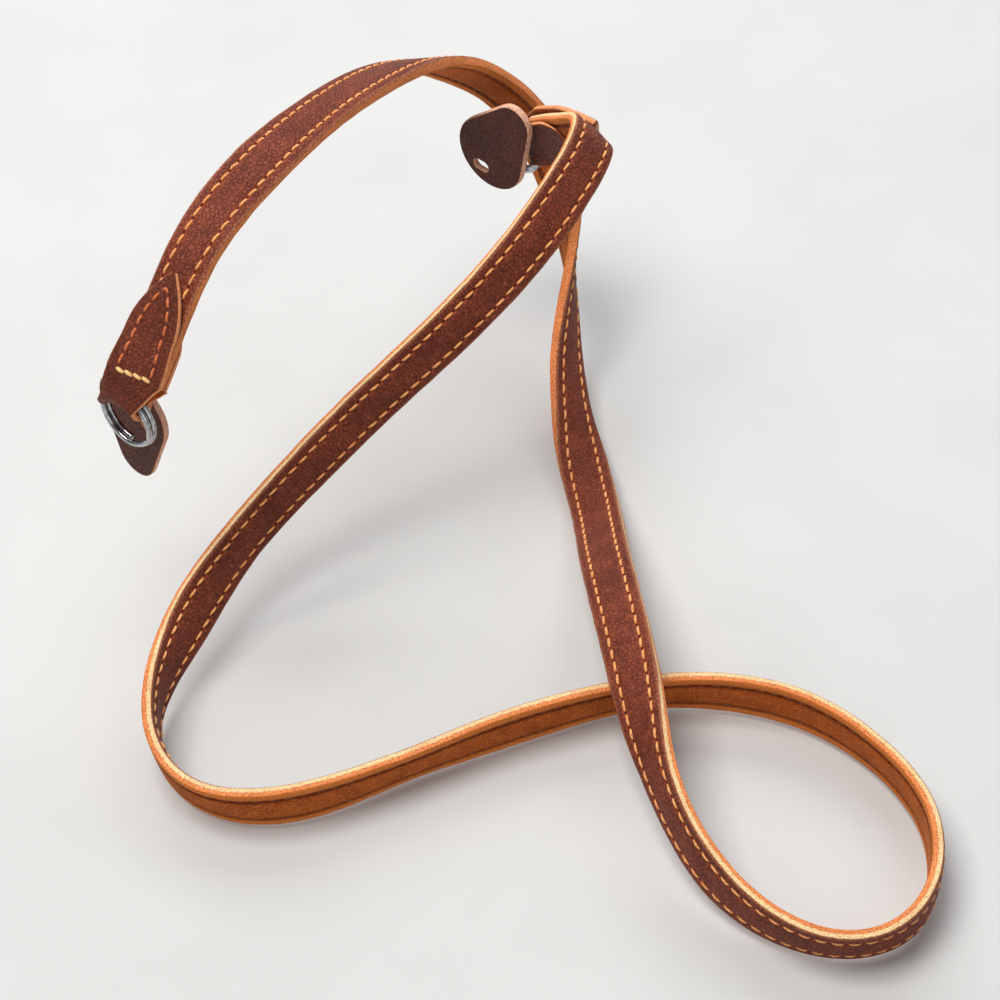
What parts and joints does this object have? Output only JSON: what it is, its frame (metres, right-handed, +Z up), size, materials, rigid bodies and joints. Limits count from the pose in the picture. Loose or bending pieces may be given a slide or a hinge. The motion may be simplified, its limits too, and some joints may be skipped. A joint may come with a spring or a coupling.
{
  "type": "camera neck strap",
  "caption": "Narrow padded leather neck strap with stitched edges, each end folded through a split ring backed by a pear-shaped leather guard patch",
  "frame": {"origin": "the point on the inside of the left ring where it bears on what it hangs from", "axes": "+Z up, +X level from the left ring to the right ring, +Y level and away from the side from which the grain of the strap is seen"},
  "size_m": [0.1893, 0.2122, 0.1073],
  "materials": {
    "strap_leather": "reddish-brown pebbled grain on one side, orange suede on the other, pale raw cut edges, two rows of cream-orange stitching",
    "tab_leather": "reddish-brown pebbled grain, pale cut edge, orange-red outline stitching and a thick pale cross row",
    "ring_steel": "polished nickel-plated steel wire",
    "patch_leather": "reddish-brown grain with a pinkish pale cut edge"
  },
  "bodies": {
    "root": {"strap": "strap_leather", "end_tab_left": "tab_leather", "end_tab_right": "tab_leather", "split_ring_left": "ring_steel", "split_ring_right": "ring_steel", "guard_patch_left": "patch_leather", "guard_patch_right": "patch_leather"}
  },
  "joints": []
}
